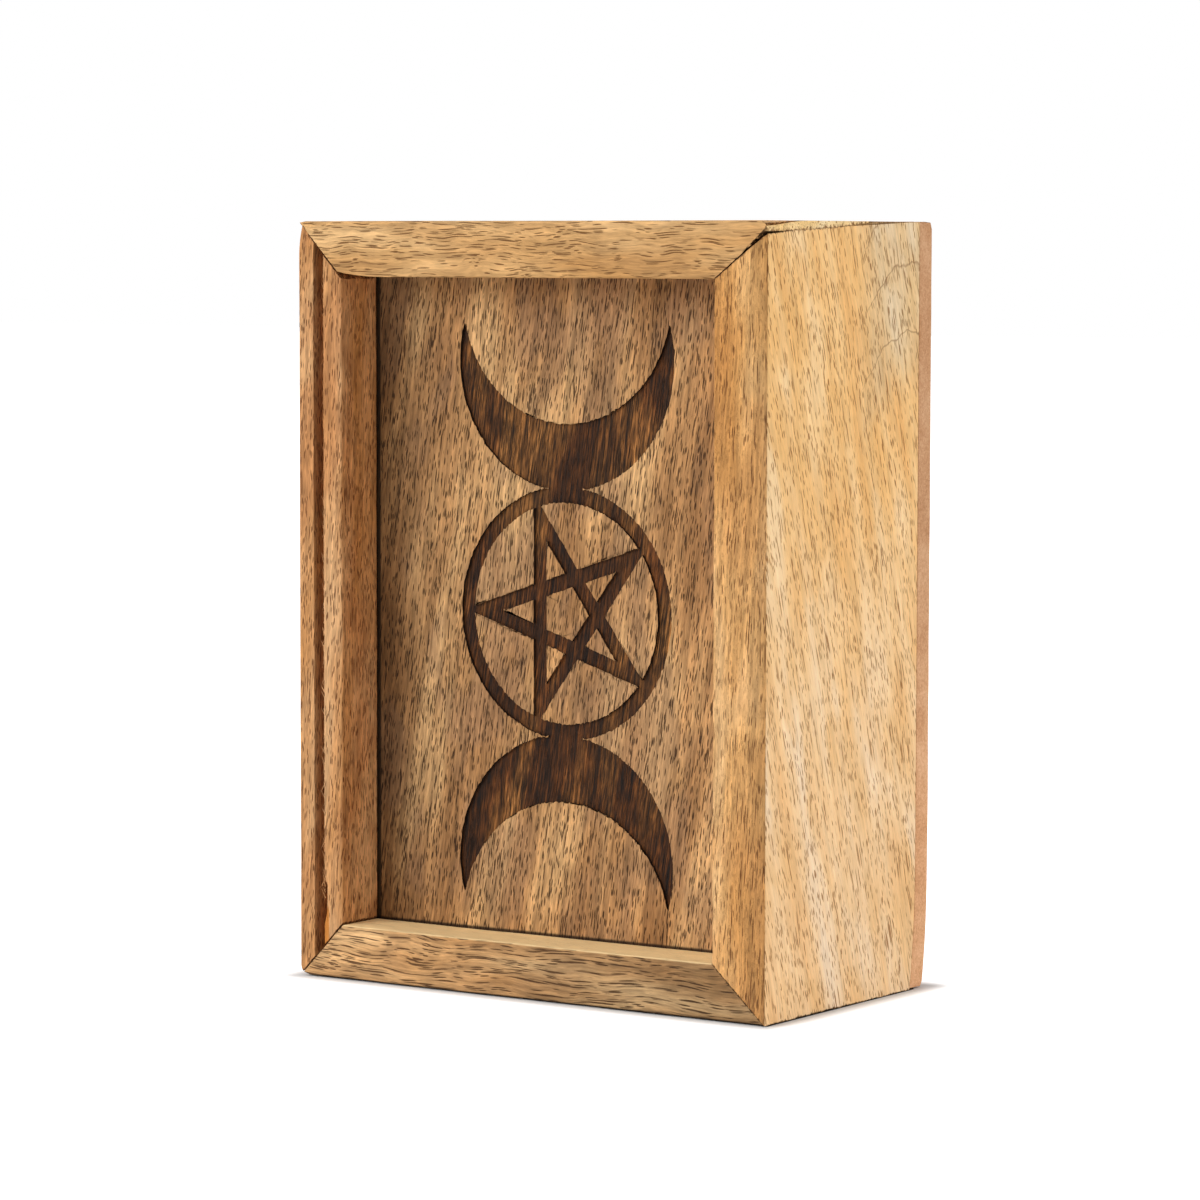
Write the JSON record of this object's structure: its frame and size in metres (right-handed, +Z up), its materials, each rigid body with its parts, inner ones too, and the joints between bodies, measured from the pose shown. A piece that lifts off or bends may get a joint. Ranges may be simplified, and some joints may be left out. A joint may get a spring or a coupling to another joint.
{
  "type": "tarot card box",
  "caption": "Upright wooden box with mitred walls and a thin base board; an engraved panel lid with a pull bar slides out sideways in grooves to reach a deck of cards.",
  "frame": {"origin": "middle of the underside, on the surface that the box stands on", "axes": "+Z up along the long side of the box; +Y from the lid's side back to the base board; +X to the right seen from the lid's side, so the lid slides out along -X"},
  "size_m": [0.1094, 0.06, 0.15],
  "materials": {
    "end_wood": "bare hardwood with long dark streaks, sanded, dull",
    "side_wood": "bare hardwood, pale, sanded, dull",
    "fibreboard": "smooth raw fibreboard",
    "steel": "bright wire",
    "panel_wood": "bare hardwood, sanded, with a burnt engraving",
    "bar_wood": "bare hardwood, warm brown, sanded"
  },
  "bodies": {
    "box": {"top_wall": "end_wood", "bottom_wall": "end_wood", "right_wall": "side_wood", "left_wall": "side_wood", "base_board": "fibreboard", "base_pins": "steel"},
    "lid": {"lid_panel": "panel_wood", "lid_bar": "bar_wood"}
  },
  "joints": [
    {"name": "lid_slide", "type": "slide", "parent": "box", "child": "lid", "axis": [-1, 0, 0], "range_m": [0, 0.105]}
  ]
}
